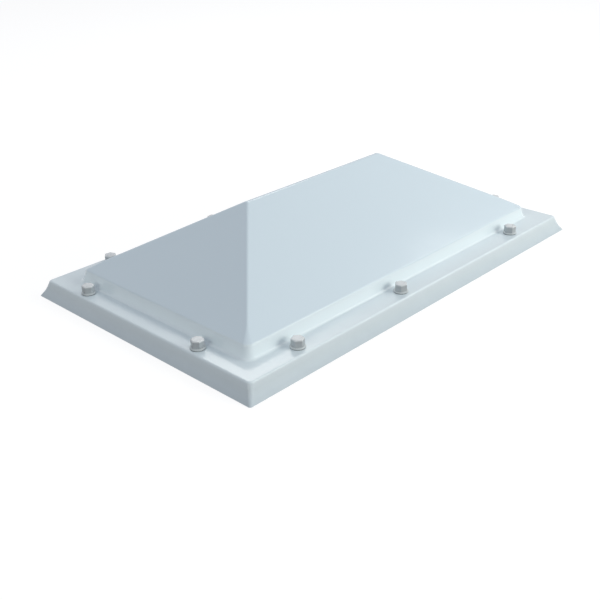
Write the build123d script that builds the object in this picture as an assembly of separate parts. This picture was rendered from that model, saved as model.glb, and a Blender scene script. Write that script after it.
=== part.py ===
from build123d import *
import os
from math import hypot

# Pyramid rooflight for a flat roof, in millimetres, +Z up.
# A hip-roofed dome of two opal acrylic skins, one inside the other. The outer skin ends in a flat
# flange and a downturned rim, and rests on that rim's lower edge. Capped screws pass through both
# flanges and the foam strips between them into the kerb, the wall round the hole in the roof.
# Origin: the centre of the rectangle that the rim's lower edge makes. +X runs along the long side.
# Front is -Y, back is +Y, left is -X and right is +X.

# Plan of the outer skin
RIM_LENGTH = 1040.0         # over the rim's lower edge
RIM_WIDTH = 640.0
BASE_REACH = 66.0           # from the rim's lower edge in to the foot of the riser, on a long side
END_SHIFT = 6.0             # how much nearer the rim the riser and the pyramid stand on a short side

# Heights of the outer skin
RIM_HEIGHT = 35.0           # floor to the top of the flange
RISER_HEIGHT = 25.0         # the short steep band that lifts the pyramid off the flange
PYRAMID_RISE = 139.5        # top of the riser to the ridge

# Slopes and flare
LIP_FLARE = 10.0            # how far the rim's lower lip sweeps outwards
LIP_HEIGHT = 15.5
SKIRT_DRAFT = 6.0           # how far the rim leans in between the lip and the flange
RISER_DRAFT = 8.0           # how far the riser leans in
RIDGE_FLAT = 7.0            # width of the softened ridge
HIP_FOOT = 17.0             # height above the riser where a hip's soft foot ends and its crisp edge starts

# Corner radii in plan
LIP_CORNER = 4.0
SKIRT_CORNER = 6.0
FLANGE_CORNER = 9.0
BASE_CORNER = 22.0
RISER_CORNER = 17.0
HIP_CORNER = 5.0            # a crisp hip, at the top of its foot
RIDGE_CORNER = 3.2

# Bend radii where one band of the sheet turns into the next, on its upper side
LIP_BEND = 45.0
FLANGE_BEND = 6.0
CREASE_BEND = 9.0
RISER_BEND = 8.0
LEAST_RADIUS = 0.8

# Sheets
OUTER_SHEET = 3.0
INNER_SHEET = 3.0
AIR_GAP = 13.0              # square to the slopes, between the two skins
INNER_EDGE_GAP = 3.0        # between the inner flange and the rim that hangs round it

# Foam strips
SPACER_THICKNESS = 3.5      # between the two flanges
SPACER_WIDTH = 26.0
SEAL_THICKNESS = 6.0        # under the inner flange, on the kerb
SEAL_WIDTH = 30.0

# Fixings
LONG_SIDE_INSET = 41.0      # from the rim's lower edge in to the line of a long side's screws
SHORT_SIDE_INSET = 37.0
SHANK_RADIUS = 2.6          # the plain shank in the sheets and the foam
THREAD_RADIUS = 3.0         # over the thread, below the foam
TIP_LENGTH = 6.0
TIP_RADIUS = 0.7
FLOOR_CLEARANCE = 2.5       # from a screw's tip up from the plane that the rim rests on
HEAD_FLATS = 10.0
HEAD_HEIGHT = 5.0
SHEET_CLEARANCE = 2.5       # round a shank in the sheets, so that they can move with heat
THREAD_CLEARANCE = 0.4      # round the thread where it has passed the foam and the washer
WASHER_RADIUS = 15.0
WASHER_THICKNESS = 4.2
WASHER_SHOULDER = 1.6       # the sloping edge on top of a washer
BOSS_HEIGHT = 2.5           # the raised middle of a washer, which the cap is pushed over
CAP_FLATS = 23.0
CAP_HEIGHT = 14.5
CAP_WALL = 2.2
CAP_BEND = 2.4
BOSS_CLEARANCE = 0.1        # between the boss and the flats inside the cap

# Places of the screws. On a long side the end ones are measured from the corners and the middle one
# from the centre, and on a short side both are measured from the corners.
LEFT_END_TO_SCREW = 160.0
RIGHT_END_TO_SCREW = 177.0
MIDDLE_SCREW = -60.0
FRONT_END_TO_SCREW = 171.0
BACK_END_TO_SCREW = 133.0
CAP_TURNS = {"front": 22.0, "back": -8.0, "left": 5.0, "right": 34.0}
CAP_TURN_STEP = 17.0

TINY = 0.001

# Half the rim's plan, and the sizes that follow from it
HALF_LENGTH = RIM_LENGTH / 2
HALF_WIDTH = RIM_WIDTH / 2
FLANGE_REACH = LIP_FLARE + SKIRT_DRAFT
RISER_TOP = RIM_HEIGHT + RISER_HEIGHT
RIDGE_TOP = RISER_TOP + PYRAMID_RISE
RIDGE_REACH = HALF_WIDTH - RIDGE_FLAT / 2
LONG_SIDE_LINE = HALF_WIDTH - LONG_SIDE_INSET
SHORT_SIDE_LINE = HALF_LENGTH - SHORT_SIDE_INSET

WASHER_TOP = RIM_HEIGHT + WASHER_THICKNESS
HEAD_UNDERSIDE = WASHER_TOP + BOSS_HEIGHT
INNER_TOP = RIM_HEIGHT - OUTER_SHEET - SPACER_THICKNESS
INNER_UNDERSIDE = INNER_TOP - INNER_SHEET
SEAL_UNDERSIDE = INNER_UNDERSIDE - SEAL_THICKNESS


# The profile is the same on all four sides. Each of its points is a reach, in from the rim's lower
# edge on a long side, and a height. With one profile all round, the hips run at 45 degrees in plan.
# On a short side, the points inside the line of the screws stand END_SHIFT further out. The corner
# radii have one more value than the profile has points, for the level where the hips turn crisp.
OUTER_PROFILE = [
    (0.0, 0.0),
    (LIP_FLARE, LIP_HEIGHT),
    (FLANGE_REACH, RIM_HEIGHT),
    (BASE_REACH, RIM_HEIGHT),
    (BASE_REACH + RISER_DRAFT, RISER_TOP),
    (RIDGE_REACH, RIDGE_TOP),
]
OUTER_CORNERS = [
    LIP_CORNER, SKIRT_CORNER, FLANGE_CORNER, BASE_CORNER, RISER_CORNER, HIP_CORNER, RIDGE_CORNER,
]


def crossing(line_a, line_b):
    """The point where two lines of the profile meet, each given as a point and a direction."""
    (reach_a, z_a), (run_a, rise_a) = line_a
    (reach_b, z_b), (run_b, rise_b) = line_b
    turn = run_a * rise_b - rise_a * run_b
    along = ((reach_b - reach_a) * rise_b - (z_b - z_a) * run_b) / turn
    return (reach_a + along * run_a, z_a + along * rise_a)


def moved_in(profile, depth):
    """The profile with every band moved square to itself, towards the inside of the dome."""
    lines = []
    for (reach_a, z_a), (reach_b, z_b) in zip(profile, profile[1:]):
        length = hypot(reach_b - reach_a, z_b - z_a)
        run = (reach_b - reach_a) / length
        rise = (z_b - z_a) / length
        lines.append(((reach_a + depth * rise, z_a - depth * run), (run, rise)))
    level = ((0.0, profile[0][1]), (1.0, 0.0))
    upright = ((profile[-1][0], 0.0), (0.0, 1.0))
    bounds = [level] + lines + [upright]
    return [crossing(line_a, line_b) for line_a, line_b in zip(bounds, bounds[1:])]


def half_plan(reach):
    """Half the length and half the width of what the profile's point draws round the dome."""
    shift = END_SHIFT if reach > LONG_SIDE_INSET else 0.0
    return HALF_LENGTH + shift - reach, HALF_WIDTH - reach


def plan(reach, z, corner):
    """The rounded rectangle that the profile's point draws round the dome."""
    half_length, half_width = half_plan(reach)
    return Pos(0, 0, z) * RectangleRounded(2 * half_length, 2 * half_width, corner)


def with_hip_foot(profile):
    """The profile with one more point on its last band, at the level where the hips turn crisp."""
    (reach_a, z_a), (reach_b, z_b) = profile[-2:]
    share = HIP_FOOT / (z_b - z_a)
    foot_top = (reach_a + share * (reach_b - reach_a), z_a + HIP_FOOT)
    return profile[:-1] + [foot_top, profile[-1]]


def block(profile, corners):
    """A closed block under the profile: one frustum for each band that rises."""
    shape = Part()
    points = list(zip(with_hip_foot(profile), corners))
    for ((reach_a, z_a), corner_a), ((reach_b, z_b), corner_b) in zip(points, points[1:]):
        if z_b - z_a > TINY:
            shape += loft([plan(reach_a, z_a, corner_a), plan(reach_b, z_b, corner_b)], ruled=True)
    return shape


def loop(shape, point):
    """The edges that run round the dome at one point of the profile."""
    reach, z = point
    half_length, half_width = half_plan(reach)

    def lies_on_it(spot):
        out = max(abs(spot.X) - half_length, abs(spot.Y) - half_width)
        return abs(out) < TINY and abs(spot.Z - z) < TINY

    return shape.edges().filter_by(lambda edge: lies_on_it(edge @ 0) and lies_on_it(edge @ 1))


def bent(shape, points, radii):
    """The block with the edges at the given points rounded."""
    for point, radius in zip(points, radii):
        shape = fillet(loop(shape, point), radius)
    return shape


def shrunk(radii, depth):
    """Corner radii after the wall has moved in by depth."""
    return [max(radius - depth, LEAST_RADIUS) for radius in radii]


def fixing_places():
    """Each fixing's name, its place in plan and the turn of its cap."""
    long_side = {
        "left": LEFT_END_TO_SCREW - HALF_LENGTH,
        "middle": MIDDLE_SCREW,
        "right": HALF_LENGTH - RIGHT_END_TO_SCREW,
    }
    short_side = {
        "front": FRONT_END_TO_SCREW - HALF_WIDTH,
        "back": HALF_WIDTH - BACK_END_TO_SCREW,
    }
    places = []
    for side, y in (("front", -LONG_SIDE_LINE), ("back", LONG_SIDE_LINE)):
        for number, (end, x) in enumerate(long_side.items()):
            places.append((side + "_" + end, x, y, CAP_TURNS[side] + number * CAP_TURN_STEP))
    for side, x in (("left", -SHORT_SIDE_LINE), ("right", SHORT_SIDE_LINE)):
        for number, (end, y) in enumerate(short_side.items()):
            places.append((side + "_" + end, x, y, CAP_TURNS[side] + number * CAP_TURN_STEP))
    return places


def drilled(shape, radius):
    """The shape with an upright hole at each fixing."""
    for _, x, y, _ in fixing_places():
        shape -= Pos(x, y, 0) * Cylinder(radius, 2 * RIDGE_TOP)
    return shape


def outer_skin():
    """The outer sheet: pyramid, riser, flange and flared rim, formed from one sheet."""
    under_profile = moved_in(OUTER_PROFILE, OUTER_SHEET)
    top = block(OUTER_PROFILE, OUTER_CORNERS)
    top = bent(top, OUTER_PROFILE[1:5], [LIP_BEND, FLANGE_BEND, CREASE_BEND, RISER_BEND])
    under = block(under_profile, shrunk(OUTER_CORNERS, OUTER_SHEET))
    under_bends = [
        LIP_BEND + OUTER_SHEET,
        FLANGE_BEND - OUTER_SHEET,
        CREASE_BEND + OUTER_SHEET,
        RISER_BEND - OUTER_SHEET,
    ]
    under = bent(under, under_profile[1:5], under_bends)
    return drilled(top - under, SHANK_RADIUS + SHEET_CLEARANCE)


def inside_profile(depth, foot_z):
    """Foot of the riser, top of the riser and ridge, all moved in by depth, for the inner sheet."""
    riser_top, ridge = moved_in(OUTER_PROFILE, depth)[4:6]
    foot_reach = riser_top[0] - (riser_top[1] - foot_z) * RISER_DRAFT / RISER_HEIGHT
    return [(foot_reach, foot_z), riser_top, ridge]


def inner_skin():
    """The inner sheet: a smaller pyramid and riser on a flat flange that ends inside the rim."""
    depth = OUTER_SHEET + AIR_GAP
    profile = inside_profile(depth, INNER_TOP)
    under_profile = inside_profile(depth + INNER_SHEET, INNER_UNDERSIDE)
    corners = shrunk(OUTER_CORNERS[3:], OUTER_SHEET)

    edge_reach = FLANGE_REACH + OUTER_SHEET + INNER_EDGE_GAP
    flange_outline = plan(edge_reach, INNER_UNDERSIDE, FLANGE_CORNER - OUTER_SHEET)
    top = extrude(flange_outline, INNER_SHEET) + block(profile, corners)
    top = bent(top, profile[0:2], [CREASE_BEND, RISER_BEND])
    under = block(under_profile, shrunk(corners, INNER_SHEET))
    under = bent(under, under_profile[1:2], [RISER_BEND - INNER_SHEET])
    sheet = bent(top - under, under_profile[0:1], [CREASE_BEND + INNER_SHEET])
    return drilled(sheet, SHANK_RADIUS + SHEET_CLEARANCE)


def strips(name, width, thickness, top):
    """Four foam strips along the line of the screws, the short ones between the long ones."""
    long_length = 2 * SHORT_SIDE_LINE + width
    short_length = 2 * LONG_SIDE_LINE - width
    middle = top - thickness / 2
    made = {
        "front": Pos(0, -LONG_SIDE_LINE, middle) * Box(long_length, width, thickness),
        "back": Pos(0, LONG_SIDE_LINE, middle) * Box(long_length, width, thickness),
        "left": Pos(-SHORT_SIDE_LINE, 0, middle) * Box(width, short_length, thickness),
        "right": Pos(SHORT_SIDE_LINE, 0, middle) * Box(width, short_length, thickness),
    }
    return {name + side: drilled(strip, THREAD_RADIUS + THREAD_CLEARANCE) for side, strip in made.items()}


def hexagon(flats):
    """A regular hexagon by the distance over its flats."""
    return RegularPolygon(flats / 2, 6, major_radius=False)


def washer():
    """Round sealing washer with a sloping shoulder and a boss, standing on z = 0."""
    ring = extrude(Circle(WASHER_RADIUS), WASHER_THICKNESS)
    ring = chamfer(ring.edges().sort_by(Axis.Z)[-1], WASHER_SHOULDER)
    boss_radius = CAP_FLATS / 2 - CAP_WALL - BOSS_CLEARANCE
    boss = extrude(Circle(boss_radius), WASHER_THICKNESS + BOSS_HEIGHT)
    hole = extrude(Circle(THREAD_RADIUS + THREAD_CLEARANCE), WASHER_THICKNESS + BOSS_HEIGHT)
    return ring + boss - hole


def screw():
    """Hexagon-headed screw on its own axis, at the heights where it sits."""
    head = Pos(0, 0, HEAD_UNDERSIDE) * extrude(hexagon(HEAD_FLATS), HEAD_HEIGHT)
    shank = Pos(0, 0, SEAL_UNDERSIDE) * extrude(Circle(SHANK_RADIUS), HEAD_UNDERSIDE - SEAL_UNDERSIDE)
    tip_top = FLOOR_CLEARANCE + TIP_LENGTH
    thread = Pos(0, 0, tip_top) * extrude(Circle(THREAD_RADIUS), SEAL_UNDERSIDE - tip_top)
    tip = Pos(0, 0, tip_top - TIP_LENGTH / 2) * Cone(TIP_RADIUS, THREAD_RADIUS, TIP_LENGTH)
    return head + shank + thread + tip


def cap():
    """Hollow hexagon cap, standing on z = 0, with a pocket for the screw's head and the boss."""
    outside = extrude(hexagon(CAP_FLATS), CAP_HEIGHT)
    outside = fillet(outside.edges().group_by(Axis.Z)[-1], CAP_BEND)
    return outside - extrude(hexagon(CAP_FLATS - 2 * CAP_WALL), CAP_HEIGHT - CAP_WALL)


def fixings():
    """A washer, a screw and a cap at each place, stacked on the flange."""
    pieces = {}
    for name, x, y, turn in fixing_places():
        pieces["washer_" + name] = Pos(x, y, RIM_HEIGHT) * washer()
        pieces["screw_" + name] = Pos(x, y, 0) * Rot(0, 0, turn) * screw()
        pieces["cap_" + name] = Pos(x, y, WASHER_TOP) * Rot(0, 0, turn) * cap()
    return pieces


def rooflight():
    """Every piece of the rooflight by its name."""
    pieces = {"outer_skin": outer_skin(), "inner_skin": inner_skin()}
    pieces |= strips("spacer_strip_", SPACER_WIDTH, SPACER_THICKNESS, RIM_HEIGHT - OUTER_SHEET)
    pieces |= strips("kerb_seal_", SEAL_WIDTH, SEAL_THICKNESS, INNER_UNDERSIDE)
    pieces |= fixings()
    return pieces


os.makedirs("parts", exist_ok=True)
for piece_name, piece in rooflight().items():
    export_step(piece, "parts/" + piece_name + ".step")
    box = piece.bounding_box()
    print(piece_name, round(piece.volume), [round(v, 1) for v in (*box.min, *box.max)])
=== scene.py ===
# %% [markdown]
# # A pyramid rooflight in opal acrylic
#
# A rooflight is a dome that closes a hole in a flat roof and lets daylight in. This one has two
# skins of milky acrylic, one inside the other, foam between their flanges, and ten screws under
# grey plastic caps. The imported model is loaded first. It is the fixed frame: every piece made here
# goes where that model says, so no piece has to be placed by eye.

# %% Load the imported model
from math import atan2, cos, pi, radians, tan

import bmesh
import bpy
from mathutils import Matrix, Vector


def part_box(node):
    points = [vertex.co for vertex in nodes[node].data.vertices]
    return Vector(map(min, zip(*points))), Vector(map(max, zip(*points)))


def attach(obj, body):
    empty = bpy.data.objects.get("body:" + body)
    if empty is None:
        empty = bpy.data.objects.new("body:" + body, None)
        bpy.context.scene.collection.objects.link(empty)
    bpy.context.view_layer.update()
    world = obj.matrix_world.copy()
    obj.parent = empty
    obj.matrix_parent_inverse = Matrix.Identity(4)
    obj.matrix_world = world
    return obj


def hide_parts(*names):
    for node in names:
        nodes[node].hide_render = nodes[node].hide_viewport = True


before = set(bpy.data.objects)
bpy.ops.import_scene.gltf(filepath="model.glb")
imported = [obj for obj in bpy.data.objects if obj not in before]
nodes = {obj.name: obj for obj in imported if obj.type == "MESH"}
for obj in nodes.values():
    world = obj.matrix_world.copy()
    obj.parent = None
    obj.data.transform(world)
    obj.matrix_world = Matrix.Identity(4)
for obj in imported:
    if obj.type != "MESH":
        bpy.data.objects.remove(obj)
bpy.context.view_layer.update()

MM = 0.001

# %% [markdown]
# ## The camera
#
# The photo looks down on the left front corner from about two metres away. The lens and the turn
# were found by matching corners of the rim, ends of the ridge and feet of the caps. The picture was
# cropped off centre, and a small sideways shift of the lens does the same.

# %% Set the camera
CAMERA_PLACE = Vector((-1.37468, -1.24577, 0.83115))
CAMERA_RIGHT = Vector((0.705416, -0.708191, -0.029213))
CAMERA_UP = Vector((0.335679, 0.297496, 0.893765))
LENS = 54.07
SENSOR_WIDTH = 36.0
SHIFT = 0.0545

camera_data = bpy.data.cameras.new("camera")
camera_data.lens = LENS
camera_data.sensor_width = SENSOR_WIDTH
camera_data.shift_x = SHIFT
camera = bpy.data.objects.new("camera", camera_data)
turn = Matrix((CAMERA_RIGHT, CAMERA_UP, CAMERA_RIGHT.cross(CAMERA_UP))).transposed()
camera.matrix_world = Matrix.Translation(CAMERA_PLACE) @ turn.to_4x4()
bpy.context.scene.collection.objects.link(camera)
bpy.context.scene.camera = camera
print("camera at", [round(v, 3) for v in CAMERA_PLACE], "metres away:", round(CAMERA_PLACE.length, 2))

# %% [markdown]
# ## A helper that turns a bmesh into a finished piece
#
# A bmesh is Blender's workbench for a mesh. When a piece is shaped, this helper marks the edges
# that should stay crisp, writes the mesh to an object, and hides the imported node that it stands for.
# The weighted-normal modifier makes wide flat faces look flat and leaves the turn of the light to
# the narrow bends beside them, which is how formed plastic looks.

# %% Finish a piece
CRISP_DEGREES = 32.0


def object_from(bm, name):
    mesh = bpy.data.meshes.new(name)
    bm.to_mesh(mesh)
    bm.free()
    made = bpy.data.objects.new(name, mesh)
    bpy.context.scene.collection.objects.link(made)
    return made


def finish_piece(bm, name, node):
    bmesh.ops.recalc_face_normals(bm, faces=bm.faces)
    for face in bm.faces:
        face.smooth = True
    for edge in bm.edges:
        crisp = len(edge.link_faces) == 2 and edge.calc_face_angle() > radians(CRISP_DEGREES)
        edge.smooth = not crisp
    piece = object_from(bm, name)
    smoothing = piece.modifiers.new("flat faces stay flat", "WEIGHTED_NORMAL")
    smoothing.keep_sharp = True
    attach(piece, "root")
    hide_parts(node)
    return piece


print("edges stay crisp where they turn by more than", CRISP_DEGREES, "degrees")

# %% [markdown]
# ## Rounded rectangles, the rings that the dome is made of
#
# The dome is formed over a mould, so any level cut through it is a rounded rectangle. A ring is
# made from a one-face grid: it is scaled to length and width, and a vertex bevel rounds the four
# corners. Every ring has the same number of corner steps. A new ring is made straight above the
# last one, bridged to it, and only then do its corners move to their own places. In this way each
# point is joined to the right one, even where a large ring leads to a very small one.

# %% Stack rings
RIM_LENGTH = 1040.0 * MM
RIM_WIDTH = 640.0 * MM
END_SHIFT = 6.0 * MM
DOME_REACH = 41.0 * MM
CORNER_STEPS = 12


def half_plan(reach):
    """Half the length and half the width at a reach in from the rim of a long side."""
    shift = END_SHIFT if reach > DOME_REACH else 0.0
    return (RIM_LENGTH / 2 + shift - reach, RIM_WIDTH / 2 - reach)


def ring(bm, half_size, z, corner, keep_face):
    known = set(bm.edges)
    grid = bmesh.ops.create_grid(bm, x_segments=1, y_segments=1, size=1.0)
    bmesh.ops.scale(bm, verts=grid["verts"], vec=(*half_size, 1.0))
    bmesh.ops.translate(bm, verts=grid["verts"], vec=(0, 0, z))
    bmesh.ops.bevel(bm, geom=grid["verts"], affect="VERTICES", offset=corner,
                    segments=CORNER_STEPS, profile=0.5, material=-1)
    edges = [edge for edge in bm.edges if edge not in known]
    if not keep_face:
        faces = {face for edge in edges for face in edge.link_faces}
        bmesh.ops.delete(bm, geom=list(faces), context="FACES_ONLY")
    return edges


def move_corners(bm, edges, out_x, out_y):
    """The ring's four rounded corners move out by as much, each in its own direction."""
    verts = {vert for edge in edges for vert in edge.verts}
    for sign_x in (-1, 1):
        for sign_y in (-1, 1):
            corner = [v for v in verts if v.co.x * sign_x > 0 and v.co.y * sign_y > 0]
            bmesh.ops.translate(bm, verts=corner, vec=(sign_x * out_x, sign_y * out_y, 0))


def stack(bm, profile, corners):
    """Rings from the lowest point of the profile to the highest, which gets a lid."""
    rings = []
    below = half_plan(profile[0][0])
    for (reach, z), corner in zip(profile, corners):
        is_lid = (reach, z) == profile[-1]
        made = ring(bm, below, z, corner, keep_face=is_lid)
        if rings:
            bmesh.ops.bridge_loops(bm, edges=rings[-1] + made)
        own = half_plan(reach)
        move_corners(bm, made, own[0] - below[0], own[1] - below[1])
        rings.append(made)
        below = own
    return rings


print("half of the rim in mm:", [round(v / MM) for v in half_plan(0.0)])

# %% [markdown]
# ## Bends
#
# A sheet can't turn a sharp corner. Each edge loop between two bands is bevelled, and the width of
# that bevel follows from the bend radius and from how far the sheet turns there. At a right angle
# the bevel is as wide as the radius, and at a gentle turn it is much narrower.

# %% Round the bends
BEND_STEPS = 6


def turn_at(profile, place):
    """How far the profile turns at one of its points."""
    (r0, z0), (r1, z1), (r2, z2) = profile[place - 1:place + 2]
    return abs(atan2(z2 - z1, r2 - r1) - atan2(z1 - z0, r1 - r0))


def soften(bm, edges, width, steps):
    bmesh.ops.bevel(bm, geom=edges, affect="EDGES", offset=width, segments=steps,
                    profile=0.5, material=-1)


def bend_width(radius, angle):
    return radius * tan(angle / 2)


def round_bends(bm, rings, profile, bends):
    for place, radius in bends.items():
        soften(bm, rings[place], bend_width(radius, turn_at(profile, place)), BEND_STEPS)


for degrees in (90, 30):
    print("a 10 mm bend of", degrees, "degrees: bevel", round(bend_width(10, radians(degrees)), 1), "mm")

# %% [markdown]
# ## Holes for the screws
#
# Ten screws go through the flanges and the foam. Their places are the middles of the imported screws.
# Upright rods are subtracted from a piece by a Boolean modifier, which copes with the many faces
# that a hole may cross. The result is read back into a bmesh, so that nothing is left to work out
# when the scene is rendered.

# %% Drill the holes
SHEET_HOLE = 5.1 * MM
HOLE_STEPS = 40


def fixing_centre(name):
    low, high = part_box("screw_" + name)
    return ((low[0] + high[0]) / 2, (low[1] + high[1]) / 2)


fixing_names = sorted(name[len("screw_"):] for name in nodes if name.startswith("screw_"))
fixing_places = {name: fixing_centre(name) for name in fixing_names}


def upright_bar(bm, radius_low, radius_high, low, high, steps):
    bar = bmesh.ops.create_cone(bm, cap_ends=True, segments=steps, radius1=radius_low,
                                radius2=radius_high, depth=high - low)
    bmesh.ops.translate(bm, verts=bar["verts"], vec=(0, 0, (low + high) / 2))
    return bar["verts"]


def drill(bm, places, radius, low, high):
    """The bmesh with an upright hole at each place, cut with a Boolean modifier."""
    rods = bmesh.new()
    for x, y in places:
        rod = upright_bar(rods, radius, radius, low, high, HOLE_STEPS)
        bmesh.ops.translate(rods, verts=rod, vec=(x, y, 0))
    work = object_from(bm, "work")
    cutter = object_from(rods, "drill")
    cut = work.modifiers.new("holes", "BOOLEAN")
    cut.operation = "DIFFERENCE"
    cut.solver = "EXACT"
    cut.object = cutter
    result = work.evaluated_get(bpy.context.evaluated_depsgraph_get())
    drilled = bmesh.new()
    drilled.from_mesh(result.to_mesh())
    result.to_mesh_clear()
    for thing in (work, cutter):
        mesh = thing.data
        bpy.data.objects.remove(thing)
        bpy.data.meshes.remove(mesh)
    return drilled


print("screws:", len(fixing_places), "at", ", ".join(fixing_names))

# %% [markdown]
# ## The outer skin
#
# It is one acrylic sheet, warmed until soft and blown or pressed over a mould: pyramid, a short
# steep riser, a flat flange, and a rim that turns down and flares out in a small lip. Here it is
# bridged as a thin surface, its bends are bevelled, and solidify gives it the sheet's thickness.
# The surface runs a little below the floor and is then cut off level, as the real edge is sawn.

# %% Shape the outer skin
OUTER_PROFILE_MM = [
    (0.0, 0.0),  # the sawn edge of the rim, at the level it rests on
    (10.0, 15.5),  # the top of the flared lip
    (16.0, 35.0),  # the outer edge of the flange
    (66.0, 35.0),  # the foot of the riser
    (74.0, 60.0),  # the foot of the pyramid
    (103.6, 77.0),  # where the hips begin to be crisp
    (316.5, 199.5),  # the ridge
]
OUTER_PROFILE = [(reach * MM, z * MM) for reach, z in OUTER_PROFILE_MM]
OUTER_CORNERS = [radius * MM for radius in (4.0, 6.0, 9.0, 19.0, 14.0, 4.0, 3.0)]
OUTER_BENDS = {1: 45.0 * MM, 2: 5.0 * MM, 3: 7.0 * MM, 4: 6.5 * MM}
RIDGE_SOFTENING = 2.6 * MM
RIDGE_STEPS = 5
SHEET = 3.0 * MM
SAW_ALLOWANCE = 0.5
SAWN_EDGE_BREAK = 0.35 * MM
SAWN_EDGE_STEPS = 2
DRILL_FROM = 20.0 * MM
DRILL_TO = 45.0 * MM


def measured(bm):
    open_edges = sum(edge.is_boundary for edge in bm.edges)
    volume = round(abs(bm.calc_volume()) * 1e6)
    return f"{len(bm.faces)} faces, {open_edges} open edges, {volume} cubic centimetres"


lip_reach, lip_top = OUTER_PROFILE[1]
allowance = (-SAW_ALLOWANCE * lip_reach, -SAW_ALLOWANCE * lip_top)
rough_profile = [allowance] + OUTER_PROFILE[1:]

bm = bmesh.new()
outer_rings = stack(bm, rough_profile, OUTER_CORNERS)
round_bends(bm, outer_rings, rough_profile, OUTER_BENDS)
soften(bm, outer_rings[-1], RIDGE_SOFTENING, RIDGE_STEPS)
bmesh.ops.recalc_face_normals(bm, faces=bm.faces)
bmesh.ops.solidify(bm, geom=bm.faces, thickness=SHEET)
whole = list(bm.verts) + list(bm.edges) + list(bm.faces)
bmesh.ops.bisect_plane(bm, geom=whole, plane_co=(0, 0, 0), plane_no=(0, 0, -1), clear_outer=True)
sawn = [edge for edge in bm.edges if edge.is_boundary]
bmesh.ops.bridge_loops(bm, edges=sawn)
sawn = [edge for edge in sawn if edge.is_valid]
soften(bm, sawn, SAWN_EDGE_BREAK, SAWN_EDGE_STEPS)
bm = drill(bm, fixing_places.values(), SHEET_HOLE, DRILL_FROM, DRILL_TO)
print("outer skin:", measured(bm))
outer_skin = finish_piece(bm, "opal_outer_skin", "outer_skin")

# %% [markdown]
# ## The inner skin
#
# The second sheet repeats the pyramid and the riser sixteen millimetres further in and ends in a
# flat flange inside the rim. The air between the two keeps warmth in. It is shaped in the same way.

# %% Shape the inner skin
INNER_PROFILE_MM = [
    (22.0, 28.5),  # the edge of the flange
    (80.72, 28.5),  # the foot of the riser
    (87.35, 49.22),  # the foot of the pyramid
    (116.9, 66.22),  # where the hips begin to be crisp
    (316.5, 181.04),  # the ridge
]
INNER_PROFILE = [(reach * MM, z * MM) for reach, z in INNER_PROFILE_MM]
INNER_CORNERS = [radius * MM for radius in (6.0, 19.0, 14.0, 2.0, 0.9)]
INNER_BENDS = {1: 9.0 * MM, 2: 8.0 * MM}

bm = bmesh.new()
inner_rings = stack(bm, INNER_PROFILE, INNER_CORNERS)
round_bends(bm, inner_rings, INNER_PROFILE, INNER_BENDS)
bmesh.ops.recalc_face_normals(bm, faces=bm.faces)
bmesh.ops.solidify(bm, geom=bm.faces, thickness=SHEET)
bm = drill(bm, fixing_places.values(), SHEET_HOLE, DRILL_FROM, DRILL_TO)
print("inner skin:", measured(bm))
inner_skin = finish_piece(bm, "opal_inner_skin", "inner_skin")

# %% [markdown]
# ## Foam strips
#
# White foam tape keeps the two flanges apart and dark foam tape seals the inner flange to the kerb.
# Squeezed foam bulges at its edges, so a box gets a wide round bevel all round, almost as wide as
# half of its thickness.

# %% Shape the foam strips
STRIP_HOLE = 3.4 * MM
FOAM_BULGE = 0.46
FOAM_STEPS = 5
DRILL_OVERRUN = 5.0 * MM
SIDES = ("front", "back", "left", "right")


def foam_strip(name, node):
    low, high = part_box(node)
    size = Vector(high) - Vector(low)
    centre = (Vector(high) + Vector(low)) / 2
    bm = bmesh.new()
    bmesh.ops.create_cube(bm, size=1.0)
    bmesh.ops.scale(bm, verts=bm.verts, vec=size)
    bmesh.ops.translate(bm, verts=bm.verts, vec=centre)
    soften(bm, bm.edges, FOAM_BULGE * size.z, FOAM_STEPS)
    inside = [(x, y) for x, y in fixing_places.values()
              if low[0] < x < high[0] and low[1] < y < high[1]]
    bm = drill(bm, inside, STRIP_HOLE, low[2] - DRILL_OVERRUN, high[2] + DRILL_OVERRUN)
    return finish_piece(bm, name, node)


spacers = [foam_strip("spacer_foam_" + side, "spacer_strip_" + side) for side in SIDES]
seals = [foam_strip("kerb_foam_" + side, "kerb_seal_" + side) for side in SIDES]
print("foam strips:", len(spacers) + len(seals))

# %% [markdown]
# ## Washers
#
# A round washer under each cap presses a thin rubber ring onto the acrylic and keeps rain out. Both
# are round, so each is a half section spun once round the screw's axis.

# %% Shape the washers
WASHER_RADIUS = 15.0 * MM
WASHER_HOLE = 3.4 * MM
WASHER_THICKNESS = 4.2 * MM
WASHER_EDGE_BREAK = 0.4 * MM
SHOULDER = 1.6 * MM
SHOULDER_BEND = 1.2 * MM
BOSS_RADIUS = 9.2 * MM
BOSS_HEIGHT = 2.5 * MM
BOSS_EDGE_BREAK = 0.3 * MM
RUBBER_THICKNESS = 1.1 * MM
RUBBER_SET_BACK = 0.7 * MM
RUBBER_EDGE_BREAK = 0.3 * MM
ROUND_STEPS = 56
EDGE_STEPS = 4
PLASTIC, RUBBER = 0, 1


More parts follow.
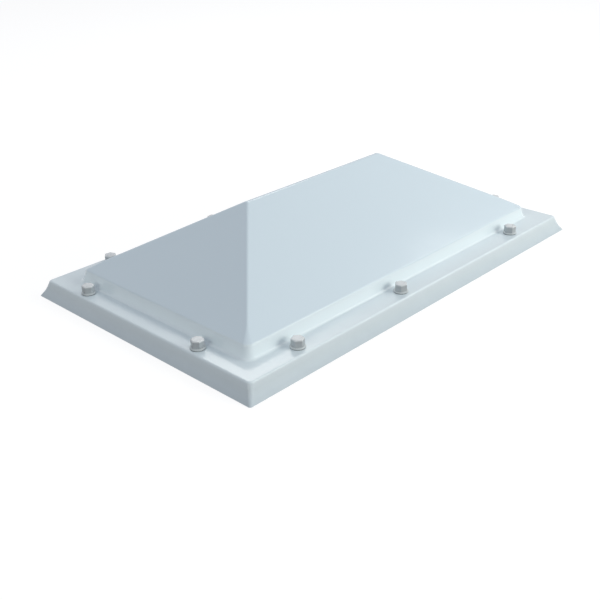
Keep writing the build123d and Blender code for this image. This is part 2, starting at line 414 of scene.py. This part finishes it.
def spun(bm, points, rounded, finish):
    """A closed section, its listed corners rounded, spun round the z axis."""
    known = set(bm.faces)
    verts = [bm.verts.new((x, 0, z)) for x, z in points]
    bm.faces.new(verts)
    corners = [(verts[place], radius) for place, radius in rounded.items()]
    for corner, radius in corners:
        bmesh.ops.bevel(bm, geom=[corner], affect="VERTICES", offset=radius, segments=EDGE_STEPS,
                        profile=0.5, material=-1)
    section = [face for face in bm.faces if face not in known]
    edges = list(dict.fromkeys(edge for face in section for edge in face.edges))
    ends = list(dict.fromkeys(vert for edge in edges for vert in edge.verts))
    bmesh.ops.delete(bm, geom=section, context="FACES_ONLY")
    bmesh.ops.spin(bm, geom=edges + ends, cent=(0, 0, 0), axis=(0, 0, 1), angle=2 * pi,
                   steps=ROUND_STEPS, use_merge=True, use_duplicate=False)
    for face in bm.faces:
        if face not in known:
            face.material_index = finish


def washer_mesh(x, y, z):
    bm = bmesh.new()
    boss_top = WASHER_THICKNESS + BOSS_HEIGHT
    washer_section = [
        (WASHER_HOLE, RUBBER_THICKNESS),
        (WASHER_RADIUS, RUBBER_THICKNESS),
        (WASHER_RADIUS, WASHER_THICKNESS - SHOULDER),
        (WASHER_RADIUS - SHOULDER, WASHER_THICKNESS),
        (BOSS_RADIUS, WASHER_THICKNESS),
        (BOSS_RADIUS, boss_top),
        (WASHER_HOLE, boss_top),
    ]
    washer_edges = {1: WASHER_EDGE_BREAK, 2: SHOULDER_BEND, 3: SHOULDER_BEND, 5: BOSS_EDGE_BREAK}
    spun(bm, washer_section, washer_edges, PLASTIC)
    rubber_radius = WASHER_RADIUS - RUBBER_SET_BACK
    rubber_section = [
        (WASHER_HOLE, 0.0),
        (rubber_radius, 0.0),
        (rubber_radius, RUBBER_THICKNESS),
        (WASHER_HOLE, RUBBER_THICKNESS),
    ]
    spun(bm, rubber_section, {1: RUBBER_EDGE_BREAK, 2: RUBBER_EDGE_BREAK}, RUBBER)
    bmesh.ops.translate(bm, verts=bm.verts, vec=(x, y, z))
    return bm


washers = []
for name, (x, y) in fixing_places.items():
    low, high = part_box("washer_" + name)
    bm = washer_mesh(x, y, low[2])
    washers.append(finish_piece(bm, "sealing_washer_" + name, "washer_" + name))
print("washers:", len(washers), "faces in each:", len(washers[0].data.polygons))

# %% [markdown]
# ## Screws
#
# Each screw is a stainless hexagon head, a shank and a coarse thread for wood. The thread is a small
# triangle spun round the axis while it climbs, which is what a lathe does too. The caps and the
# sheets hide most of it, and it shows only from below.

# %% Shape a screw
HEAD_FLATS = 10.0 * MM
HEAD_HEIGHT = 5.0 * MM
HEAD_EDGE_BREAK = 0.5 * MM
HEAD_EDGE_STEPS = 2
SHANK_RADIUS = 2.6 * MM
CORE_RADIUS = 2.1 * MM
THREAD_RADIUS = 3.0 * MM
THREAD_TOP = 19.5 * MM
THREAD_PITCH = 2.4 * MM
THREAD_HALF_WIDTH = 0.3 * THREAD_PITCH
THREAD_ROOT = 0.2 * MM
TIP_LENGTH = 6.0 * MM
TIP_RADIUS = 0.7 * MM
STEPS_A_TURN = 24


def corner_radius(flats):
    """How far a hexagon's corners are from its middle, from its width across flats."""
    return flats / 2 / cos(pi / 6)


def thread(bm, start):
    inside = CORE_RADIUS - THREAD_ROOT
    ridge = [
        bm.verts.new((inside, 0, start - THREAD_HALF_WIDTH)),
        bm.verts.new((THREAD_RADIUS, 0, start)),
        bm.verts.new((inside, 0, start + THREAD_HALF_WIDTH)),
    ]
    face = bm.faces.new(ridge)
    turns = (THREAD_TOP - THREAD_HALF_WIDTH - start) / THREAD_PITCH
    section = [face] + list(face.edges) + ridge
    bmesh.ops.spin(bm, geom=section, cent=(0, 0, 0), axis=(0, 0, 1), angle=2 * pi * turns,
                   dvec=(0, 0, THREAD_PITCH / STEPS_A_TURN), steps=round(turns * STEPS_A_TURN),
                   use_duplicate=False)


def screw_mesh(x, y, tip, head_low, turned):
    bm = bmesh.new()
    head_radius = corner_radius(HEAD_FLATS)
    head = upright_bar(bm, head_radius, head_radius, head_low, head_low + HEAD_HEIGHT, 6)
    head_edges = list(dict.fromkeys(edge for vert in head for edge in vert.link_edges))
    soften(bm, head_edges, HEAD_EDGE_BREAK, HEAD_EDGE_STEPS)
    core_low = tip + TIP_LENGTH
    upright_bar(bm, SHANK_RADIUS, SHANK_RADIUS, THREAD_TOP, head_low, STEPS_A_TURN)
    upright_bar(bm, CORE_RADIUS, CORE_RADIUS, core_low, THREAD_TOP, STEPS_A_TURN)
    upright_bar(bm, TIP_RADIUS, CORE_RADIUS, tip, core_low, STEPS_A_TURN)
    thread(bm, core_low)
    bmesh.ops.rotate(bm, verts=bm.verts, cent=(0, 0, 0), matrix=Matrix.Rotation(turned, 3, "Z"))
    bmesh.ops.translate(bm, verts=bm.verts, vec=(x, y, 0))
    return bm


print("screw head across corners in mm:", round(2 * corner_radius(HEAD_FLATS) / MM, 1))

# %% [markdown]
# ## Caps
#
# The caps are moulded in light grey plastic: hexagons with a rounded top, so that they shed rain,
# and hollow, so that they snap over the screw's head. A hexagon is extruded, its edges are
# bevelled, and the pocket is an inset of the bottom face pushed up inside. The caps are turned
# unevenly, because each screw stops where it is tight.

# %% Shape the caps and place the screws
CAP_FLATS = 23.0 * MM
CAP_HEIGHT = 14.5 * MM
CAP_WALL = 2.2 * MM
CAP_BEND = 2.4 * MM
CAP_BEND_STEPS = 6
CAP_CORNER_BEND = 0.9 * MM
CAP_CORNER_STEPS = 3
LEVEL = 1e-6
CAP_TURNS = {"front": 22.0, "back": -8.0, "left": 5.0, "right": 34.0}
CAP_TURN_STEP = 17.0
END_ORDER = {"left": 0, "middle": 1, "right": 2, "front": 0, "back": 1}


def moved_up(bm, grown, distance):
    """The corners that an extrusion made, moved straight up."""
    verts = [item for item in grown["geom"] if isinstance(item, bmesh.types.BMVert)]
    bmesh.ops.translate(bm, verts=verts, vec=(0, 0, distance))


def cap_mesh(x, y, foot, turned):
    bm = bmesh.new()
    bmesh.ops.create_circle(bm, cap_ends=True, segments=6, radius=corner_radius(CAP_FLATS))
    moved_up(bm, bmesh.ops.extrude_face_region(bm, geom=bm.faces[:]), CAP_HEIGHT)
    bmesh.ops.recalc_face_normals(bm, faces=bm.faces)
    upright = [e for e in bm.edges if abs(e.verts[0].co.z - e.verts[1].co.z) > CAP_HEIGHT / 2]
    soften(bm, upright, CAP_CORNER_BEND, CAP_CORNER_STEPS)
    rim = [e for e in bm.edges if all(v.co.z > CAP_HEIGHT - LEVEL for v in e.verts)]
    soften(bm, rim, CAP_BEND, CAP_BEND_STEPS)
    under = [f for f in bm.faces if all(v.co.z < LEVEL for v in f.verts)]
    bmesh.ops.inset_region(bm, faces=under, thickness=CAP_WALL, use_even_offset=True)
    pocket = bmesh.ops.extrude_face_region(bm, geom=under)
    bmesh.ops.delete(bm, geom=under, context="FACES_ONLY")
    moved_up(bm, pocket, CAP_HEIGHT - CAP_WALL)
    bmesh.ops.rotate(bm, verts=bm.verts, cent=(0, 0, 0), matrix=Matrix.Rotation(turned, 3, "Z"))
    bmesh.ops.translate(bm, verts=bm.verts, vec=(x, y, foot))
    return bm


caps = []
screws = []
for name, (x, y) in fixing_places.items():
    side, end = name.split("_")
    turned = radians(CAP_TURNS[side] + END_ORDER[end] * CAP_TURN_STEP) + pi / 6
    screw_low, screw_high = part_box("screw_" + name)
    bm = screw_mesh(x, y, screw_low[2], screw_high[2] - HEAD_HEIGHT, turned)
    screws.append(finish_piece(bm, "steel_screw_" + name, "screw_" + name))
    cap_low, cap_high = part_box("cap_" + name)
    bm = cap_mesh(x, y, cap_low[2], turned)
    caps.append(finish_piece(bm, "hexagon_cap_" + name, "cap_" + name))
cap_top = cap_high[2]
print("caps:", len(caps), "faces in each:", len(caps[0].data.polygons))

# %% [markdown]
# ## Arithmetic for shader nodes
#
# A material is a small network of nodes. To keep its maths readable, one class wraps a socket, so
# that a plus sign in Python adds an Add node. Every other kind of node comes from one method.

# %% Wrap a socket
class Wire:
    """A socket of one material's node tree, with arithmetic."""

    def __init__(self, tree, socket=None):
        self.tree = tree
        self.socket = socket

    def node(self, kind, settings=None, inputs=None, output=0):
        made = self.tree.nodes.new(kind)
        for key, value in (settings or {}).items():
            setattr(made, key, value)
        for key, value in (inputs or {}).items():
            if isinstance(value, Wire):
                self.tree.links.new(value.socket, made.inputs[key])
            else:
                made.inputs[key].default_value = value
        return Wire(self.tree, made.outputs[output])

    def maths(self, operation, first, second):
        return self.node("ShaderNodeMath", {"operation": operation}, {0: first, 1: second})

    def __add__(self, other):
        return self.maths("ADD", self, other)

    __radd__ = __add__

    def __sub__(self, other):
        return self.maths("SUBTRACT", self, other)

    def __rsub__(self, other):
        return self.maths("SUBTRACT", other, self)

    def __mul__(self, other):
        return self.maths("MULTIPLY", self, other)

    __rmul__ = __mul__

    def mixed(self, one, other):
        """Colour one where this wire is 0, the other where it is 1."""
        return self.node("ShaderNodeMix", {"data_type": "RGBA"}, {0: self, 6: one, 7: other}, 2)

    def to_surface(self, kind="ShaderNodeOutputMaterial"):
        output = self.tree.nodes.new(kind)
        self.tree.links.new(self.socket, output.inputs["Surface"])


def linear(red, green, blue):
    """A colour as a painter reads it, 0 to 255, turned into the light that Blender counts in."""
    channels = []
    for value in (red, green, blue):
        share = value / 255
        channels.append(share / 12.92 if share <= 0.04045 else ((share + 0.055) / 1.055) ** 2.4)
    return (*channels, 1.0)


print("a middle grey of 128 is", round(linear(128, 128, 128)[0], 3), "in light")

# %% [markdown]
# ## Patterns that every finish needs
#
# No real surface is the same all over. Noise in the object's own coordinates gives slow clouds or a
# fine grain, a bump turns a pattern into relief, and a ramp fades one finish into another. These
# are the only kinds of pattern that the finishes below use, so each gets a short name here.

# %% Name the patterns
def new_material(name):
    """An empty material: its Wire to start from and the place on the object."""
    material = bpy.data.materials.new(name)
    material.use_nodes = True
    material.node_tree.nodes.clear()
    start = Wire(material.node_tree)
    return material, start, start.node("ShaderNodeTexCoord", output="Object")


def noise(start, place, scale, detail, roughness=0.5):
    inputs = {"Vector": place, "Scale": scale, "Detail": detail, "Roughness": roughness}
    return start.node("ShaderNodeTexNoise", None, inputs, "Fac")


def bumped(start, height, strength, distance):
    inputs = {"Strength": strength, "Distance": distance, "Height": height}
    return start.node("ShaderNodeBump", None, inputs, "Normal")


def ramp(start, value, low, high):
    """0 below low, 1 above high, with a soft step between them."""
    settings = {"interpolation_type": "SMOOTHSTEP"}
    inputs = {"Value": value, "From Min": low, "From Max": high}
    return start.node("ShaderNodeMapRange", settings, inputs)


def height_above_floor(start, place):
    return start.node("ShaderNodeSeparateXYZ", None, {0: place}, "Z")


def shaded(start, shader_inputs):
    start.node("ShaderNodeBsdfPrincipled", None, shader_inputs, "BSDF").to_surface()


print("patterns: noise, bump and ramp")

# %% [markdown]
# ## Opal acrylic
#
# Opal acrylic is glossy and milky. The riser, the flange and the rim are painted a little lighter and
# whiter than the slopes: painted light, for the light that falls on the riser from the front. Low on
# the rim the colour is painted darker towards the floor: painted shade. Forming leaves faint long
# waves, and handling leaves a little haze, so the gloss isn't quite even: a wide noise bends the
# reflections very slightly, a fine one changes the roughness, and the edges of the painted shade and of
# the painted light wander with them.

# %% Make the opal acrylic
PAINTED_LIGHT_UP_TO = 58.0 * MM
PAINTED_LIGHT_FADE = 3.0 * MM
PAINTED_LIGHT_WANDER = 8.0 * MM
PAINTED_SHADE_FROM = -7.0 * MM
PAINTED_SHADE_TO = 45.5 * MM
PAINTED_SHADE_WANDER = 12.0 * MM
HAZE = 0.06
RELIEF = 4.0 * MM
RELIEF_STRENGTH = 0.25
PEEL_SHARE = 0.004
ACRYLIC_IOR = 1.49


def opal_acrylic(name, slope, foot, painted_shade, gloss):
    material, start, place = new_material(name)
    height = height_above_floor(start, place)
    drift = noise(start, place, 2.6, 2.0)
    haze = noise(start, place, 31.0, 4.0, 0.6)
    waves = noise(start, place, 7.0, 1.0)
    peel = noise(start, place, 420.0, 2.0)

    # painted light: below this height the lighter foot colour stands in for light on the riser and the
    # flange
    past_painted_light = ramp(start, height + (drift - 0.5) * PAINTED_LIGHT_WANDER, PAINTED_LIGHT_UP_TO, PAINTED_LIGHT_UP_TO + PAINTED_LIGHT_FADE)
    # painted shade: the colour gets darker towards the floor, low on the rim
    past_painted_shade = ramp(start, height + (haze - 0.5) * PAINTED_SHADE_WANDER, PAINTED_SHADE_FROM, PAINTED_SHADE_TO)
    colour = past_painted_shade.mixed(painted_shade, past_painted_light.mixed(foot, slope))
    normal = bumped(start, waves + peel * PEEL_SHARE, RELIEF_STRENGTH, RELIEF)
    shaded(start, {"Base Color": colour, "Roughness": haze * HAZE + gloss, "IOR": ACRYLIC_IOR,
                   "Normal": normal})
    return material


# the lighter foot colour is painted light, and the darker colour low on the rim is painted shade
outer_acrylic = opal_acrylic("opal acrylic", slope=linear(218, 233, 241), foot=linear(231, 243, 247),
                             painted_shade=linear(206, 219, 226), gloss=0.12)
inner_acrylic = opal_acrylic("inner opal acrylic", slope=linear(224, 233, 238),
                             foot=linear(230, 238, 241), painted_shade=linear(226, 234, 238), gloss=0.18)
outer_skin.data.materials.append(outer_acrylic)
inner_skin.data.materials.append(inner_acrylic)
print("acrylics:", outer_acrylic.name, "and", inner_acrylic.name)

# %% [markdown]
# ## Foam
#
# Closed-cell foam is matt and full of tiny bubbles. A cell texture gives the pores as bump and a
# slightly darker tint between the bubbles.

# %% Make the foams
PORE_SCALE = 900.0
PORE_DEPTH = 0.6 * MM
PORE_STRENGTH = 0.6
PORE_TINT = 0.6
FOAM_ROUGHNESS = 0.8


def foam(name, light, dark):
    material, start, place = new_material(name)
    cells = start.node("ShaderNodeTexVoronoi", None, {"Vector": place, "Scale": PORE_SCALE}, "Distance")
    drift = noise(start, place, 60.0, 3.0)
    colour = (cells * PORE_TINT + drift * (1 - PORE_TINT)).mixed(dark, light)
    normal = bumped(start, cells, PORE_STRENGTH, PORE_DEPTH)
    shaded(start, {"Base Color": colour, "Roughness": drift * 0.1 + FOAM_ROUGHNESS, "Normal": normal})
    return material


white_foam = foam("white foam", light=linear(232, 232, 230), dark=linear(205, 205, 202))
dark_foam = foam("dark foam", light=linear(78, 80, 82), dark=linear(48, 50, 52))
for strip in spacers:
    strip.data.materials.append(white_foam)
for strip in seals:
    strip.data.materials.append(dark_foam)
print("foams:", white_foam.name, "and", dark_foam.name)

# %% [markdown]
# ## Moulded plastic and rubber
#
# The grey plastic comes out of a mould with a fine matt grain, and weather and fingers make it
# uneven. The tops of the caps are painted lighter than their sides: painted light, for the light that
# falls from above. Rubber is made the same way, only darker and duller.

# %% Make the plastics and the rubber
GRAIN_SCALE = 1900.0
GRAIN_DEPTH = 0.3 * MM
GRAIN_SHARE = 0.7
CLOUD_ROUGHNESS = 0.14
CAP_PAINTED_LIGHT_DEPTH = 4.0 * MM


def moulded(name, light, dark, roughness, grain, painted_lit_top=None):
    material, start, place = new_material(name)
    cloud = noise(start, place, 90.0, 4.0, 0.6)
    fine = noise(start, place, GRAIN_SCALE, 2.0)
    colour = cloud.mixed(dark, light)
    # painted light: the top of each cap is mixed to a lighter colour
    if painted_lit_top:
        height = height_above_floor(start, place)
        colour = ramp(start, height, cap_top - CAP_PAINTED_LIGHT_DEPTH, cap_top).mixed(colour, painted_lit_top)
    relief = fine * GRAIN_SHARE + cloud * (1 - GRAIN_SHARE)
    normal = bumped(start, relief, grain, GRAIN_DEPTH)
    shaded(start, {"Base Color": colour, "Roughness": cloud * CLOUD_ROUGHNESS + roughness,
                   "Normal": normal})
    return material


cap_plastic = moulded("cap plastic", light=linear(192, 198, 200), dark=linear(168, 175, 179),
                      roughness=0.15, grain=0.25, painted_lit_top=linear(228, 232, 233))
washer_plastic = moulded("washer plastic", light=linear(208, 214, 215), dark=linear(190, 198, 200),
                         roughness=0.34, grain=0.25)
rubber = moulded("rubber ring", light=linear(66, 68, 70), dark=linear(42, 44, 46),
                 roughness=0.65, grain=0.5)
for cap in caps:
    cap.data.materials.append(cap_plastic)
for washer in washers:
    washer.data.materials.append(washer_plastic)
    washer.data.materials.append(rubber)
print("caps turn lighter above", round((cap_top - CAP_PAINTED_LIGHT_DEPTH) / MM, 1), "mm")

# %% [markdown]
# ## Stainless steel
#
# The screws are drawn and turned, so fine rings run round their axis. A noise that is squeezed
# along the axis gives such rings, and the same rings change the colour, the gloss and the relief.

# %% Make the steel
RING_SQUEEZE = (20.0, 20.0, 4000.0)
RING_DEPTH = 0.1 * MM
RING_STRENGTH = 0.3
STEEL_ROUGHNESS = 0.22


def turned_steel(name):
    material, start, place = new_material(name)
    squeezed = start.node("ShaderNodeMapping", None, {"Vector": place, "Scale": RING_SQUEEZE})
    rings = noise(start, squeezed, 1.0, 3.0)
    colour = rings.mixed(linear(150, 150, 148), linear(205, 205, 202))
    normal = bumped(start, rings, RING_STRENGTH, RING_DEPTH)
    shaded(start, {"Base Color": colour, "Metallic": 1.0, "Roughness": rings * 0.2 + STEEL_ROUGHNESS,
                   "Normal": normal})
    return material


steel = turned_steel("stainless steel")
for screw in screws:
    screw.data.materials.append(steel)
print("steel on", len(screws), "screws")

# %% [markdown]
# ## Floor and sky
#
# The photo has a white background. The floor and the sky are white to the camera and to
# reflections, and the floor keeps the shadow. To light that bounces the floor is dark and the sky is
# pale blue, so that they light the rim no more than in the photo.

# %% Set the floor and the sky
FLOOR_HALF_SIZE = 12.0
FLOOR_DROP = 0.3 * MM
FLOOR_GLOW = 0.85
FLOOR_SEEN = (0.25, 0.25, 0.25, 1.0)
FLOOR_BOUNCE = (0.04, 0.04, 0.04, 1.0)
WHITE = (1.0, 1.0, 1.0, 1.0)
SKY = (0.84, 0.88, 1.0, 1.0)
SKY_STRENGTH = 0.42


def seen_directly(start):
    """1 for the camera, for reflections and through glass, 0 for light that bounces."""
    seen = start.node("ShaderNodeLightPath", output="Is Camera Ray")
    for kind in ("Is Glossy Ray", "Is Transmission Ray"):
        seen = seen + start.node("ShaderNodeLightPath", output=kind)
    return seen


bm = bmesh.new()
bmesh.ops.create_grid(bm, x_segments=1, y_segments=1, size=FLOOR_HALF_SIZE)
bmesh.ops.translate(bm, verts=bm.verts, vec=(0, 0, -FLOOR_DROP))
floor = object_from(bm, "floor")

floor_paint = bpy.data.materials.new("pale floor")
floor_paint.use_nodes = True
floor_paint.node_tree.nodes.clear()
start = Wire(floor_paint.node_tree)
seen = seen_directly(start)
matt = start.node("ShaderNodeBsdfDiffuse", None, {"Color": seen.mixed(FLOOR_BOUNCE, FLOOR_SEEN)})
glow = start.node("ShaderNodeEmission", None, {"Color": WHITE, "Strength": seen * FLOOR_GLOW})
start.node("ShaderNodeAddShader", None, {0: matt, 1: glow}).to_surface()
floor.data.materials.append(floor_paint)

world = bpy.data.worlds.new("sky")
world.use_nodes = True
world.node_tree.nodes.clear()
start = Wire(world.node_tree)
light = start.node("ShaderNodeBackground", None, {"Color": SKY, "Strength": SKY_STRENGTH})
white = start.node("ShaderNodeBackground", None, {"Color": WHITE, "Strength": 1.0})
sky = start.node("ShaderNodeMixShader", None, {0: seen_directly(start), 1: light, 2: white})
sky.to_surface("ShaderNodeOutputWorld")
bpy.context.scene.world = world
print("floor of", 2 * FLOOR_HALF_SIZE, "metres; sky strength", SKY_STRENGTH)

# %% [markdown]
# ## Lamps
#
# The photo's light comes from the front and the right, so the left slope is darker. The two lamps in
# front are hidden from reflections: the gloss would draw them as bright lines along the rim's bend,
# where the photo has none. The right window stays in the reflections and draws the soft lines on
# the bends. Each lamp is a rectangle that faces the middle of the rooflight.

# %% Set the lamps
LAMPS = {
    "front_key": ((1.3, -3.6, 1.2), (1.8, 1.2), 54.0, (1.0, 1.0, 0.92)),
    "low_window": ((2.5, -3.1, 0.32), (3.2, 0.9), 12.0, (1.0, 1.0, 0.94)),
    "right_window": ((2.5, -2.0, 2.4), (3.2, 1.2), 33.0, (1.0, 1.0, 0.95)),
    "back_right": ((2.0, 2.0, 2.8), (1.6, 1.6), 21.0, (1.0, 1.0, 0.95)),
    "left_fill": ((-3.6, -0.4, 1.6), (1.6, 1.6), 20.0, (1.0, 1.0, 0.9)),
}
HIDDEN_IN_GLOSS = ("low_window", "front_key")


def lamp(name, place, size, power, colour):
    data = bpy.data.lights.new(name, "AREA")
    data.shape = "RECTANGLE"
    data.size, data.size_y = size
    data.energy = power
    data.color = colour
    made = bpy.data.objects.new(name, data)
    made.location = place
    made.rotation_euler = Vector(place).to_track_quat("Z", "Y").to_euler()
    made.visible_glossy = name not in HIDDEN_IN_GLOSS
    bpy.context.scene.collection.objects.link(made)


for name, (place, size, power, colour) in LAMPS.items():
    lamp(name, place, size, power, colour)
bpy.context.scene.view_settings.view_transform = "Standard"
print("lamps:", ", ".join(LAMPS))
